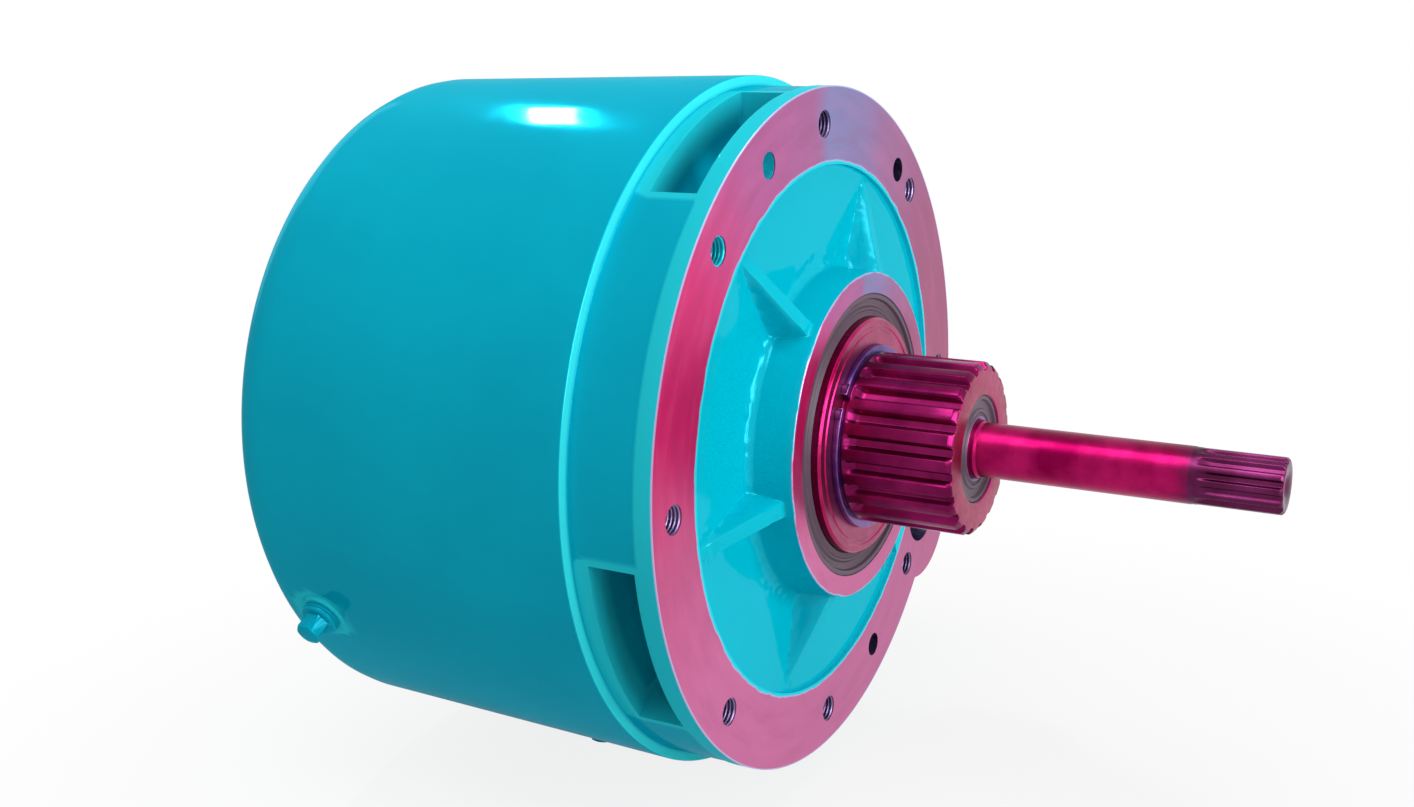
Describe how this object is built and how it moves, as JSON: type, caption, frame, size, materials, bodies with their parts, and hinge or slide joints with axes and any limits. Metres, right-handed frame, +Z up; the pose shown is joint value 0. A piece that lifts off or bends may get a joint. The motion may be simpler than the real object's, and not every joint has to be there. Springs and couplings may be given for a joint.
{
  "type": "hoist gearbox",
  "caption": "Round coaxial hoist gearbox: cup-shaped cast case with a bolting flange, a hollow splined output and a long splined input shaft through it.",
  "frame": {"origin": "centre of the flange's machined face, on the output axis", "axes": "+X along the output axis, out of the flange towards the splined shafts; +Z up"},
  "size_m": [0.5016, 0.372, 0.3854],
  "materials": {
    "cyan_enamel": "glossy enamel over a casting",
    "painted_plug": "glossy enamel",
    "grey_casting": "as cast, machined pads",
    "magenta_steel": "oiled ground steel with a magenta tint",
    "violet_spring_steel": "blued spring steel",
    "gear_steel": "ground and oiled",
    "bearing_steel": "polished",
    "zinc_screw": "zinc plated",
    "seal_rubber": "satin nitrile rubber",
    "gasket": "fibre gasket",
    "brass": "turned",
    "copper": "soft copper"
  },
  "bodies": {
    "housing": {"main_housing": "cyan_enamel", "rear_cover": "cyan_enamel", "rear_cover_gasket": "gasket", "rear_cover_bolts": "zinc_screw", "bearing_plate": "grey_casting", "bearing_plate_screws": "zinc_screw", "oil_level_plug": "painted_plug", "drain_plug": "painted_plug", "plug_sealing_washers": "copper", "breather": "brass", "output_seal": "seal_rubber", "bearing_retaining_ring": "bearing_steel", "output_bearing_outer_rings": "bearing_steel", "layshaft_bearing_cups": "bearing_steel", "input_rear_bearing_outer": "bearing_steel"},
    "output": {"output_shaft": "magenta_steel", "output_bearing_inner_rings": "bearing_steel", "seal_sleeve": "magenta_steel", "output_snap_ring": "violet_spring_steel", "input_seal": "seal_rubber", "input_front_bearing": "bearing_steel", "output_gear": "gear_steel", "output_gear_key": "gear_steel", "output_gear_front_spacer": "gear_steel", "output_gear_rear_spacer": "gear_steel", "output_shaft_circlip": "gear_steel"},
    "second_layshaft": {"second_layshaft": "gear_steel", "second_layshaft_gear": "gear_steel", "second_layshaft_key": "gear_steel", "second_layshaft_spacer": "gear_steel", "second_layshaft_circlip": "gear_steel"},
    "first_layshaft": {"first_layshaft": "gear_steel", "first_layshaft_gear": "gear_steel", "first_layshaft_key": "gear_steel", "first_layshaft_circlip": "gear_steel"},
    "input": {"input_shaft": "magenta_steel", "input_rear_bearing_inner": "bearing_steel"}
  },
  "joints": [
    {"name": "output_spin", "type": "hinge", "parent": "housing", "child": "output", "pos_m": [0, 0, 0], "axis": [1, 0, 0], "continuous": true},
    {"name": "second_layshaft_spin", "type": "hinge", "parent": "housing", "child": "second_layshaft", "pos_m": [0, 0.06881, -0.04818], "axis": [1, 0, 0], "continuous": true},
    {"name": "first_layshaft_spin", "type": "hinge", "parent": "housing", "child": "first_layshaft", "pos_m": [0, 0.0647, 0.02671], "axis": [1, 0, 0], "continuous": true},
    {"name": "input_spin", "type": "hinge", "parent": "housing", "child": "input", "pos_m": [0, 0, 0], "axis": [1, 0, 0], "continuous": true}
  ],
  "couplings": [
    {"joint": "second_layshaft_spin", "follows": "output_spin", "ratio": -2.5},
    {"joint": "first_layshaft_spin", "follows": "output_spin", "ratio": 7.9167},
    {"joint": "input_spin", "follows": "output_spin", "ratio": -23.75}
  ]
}
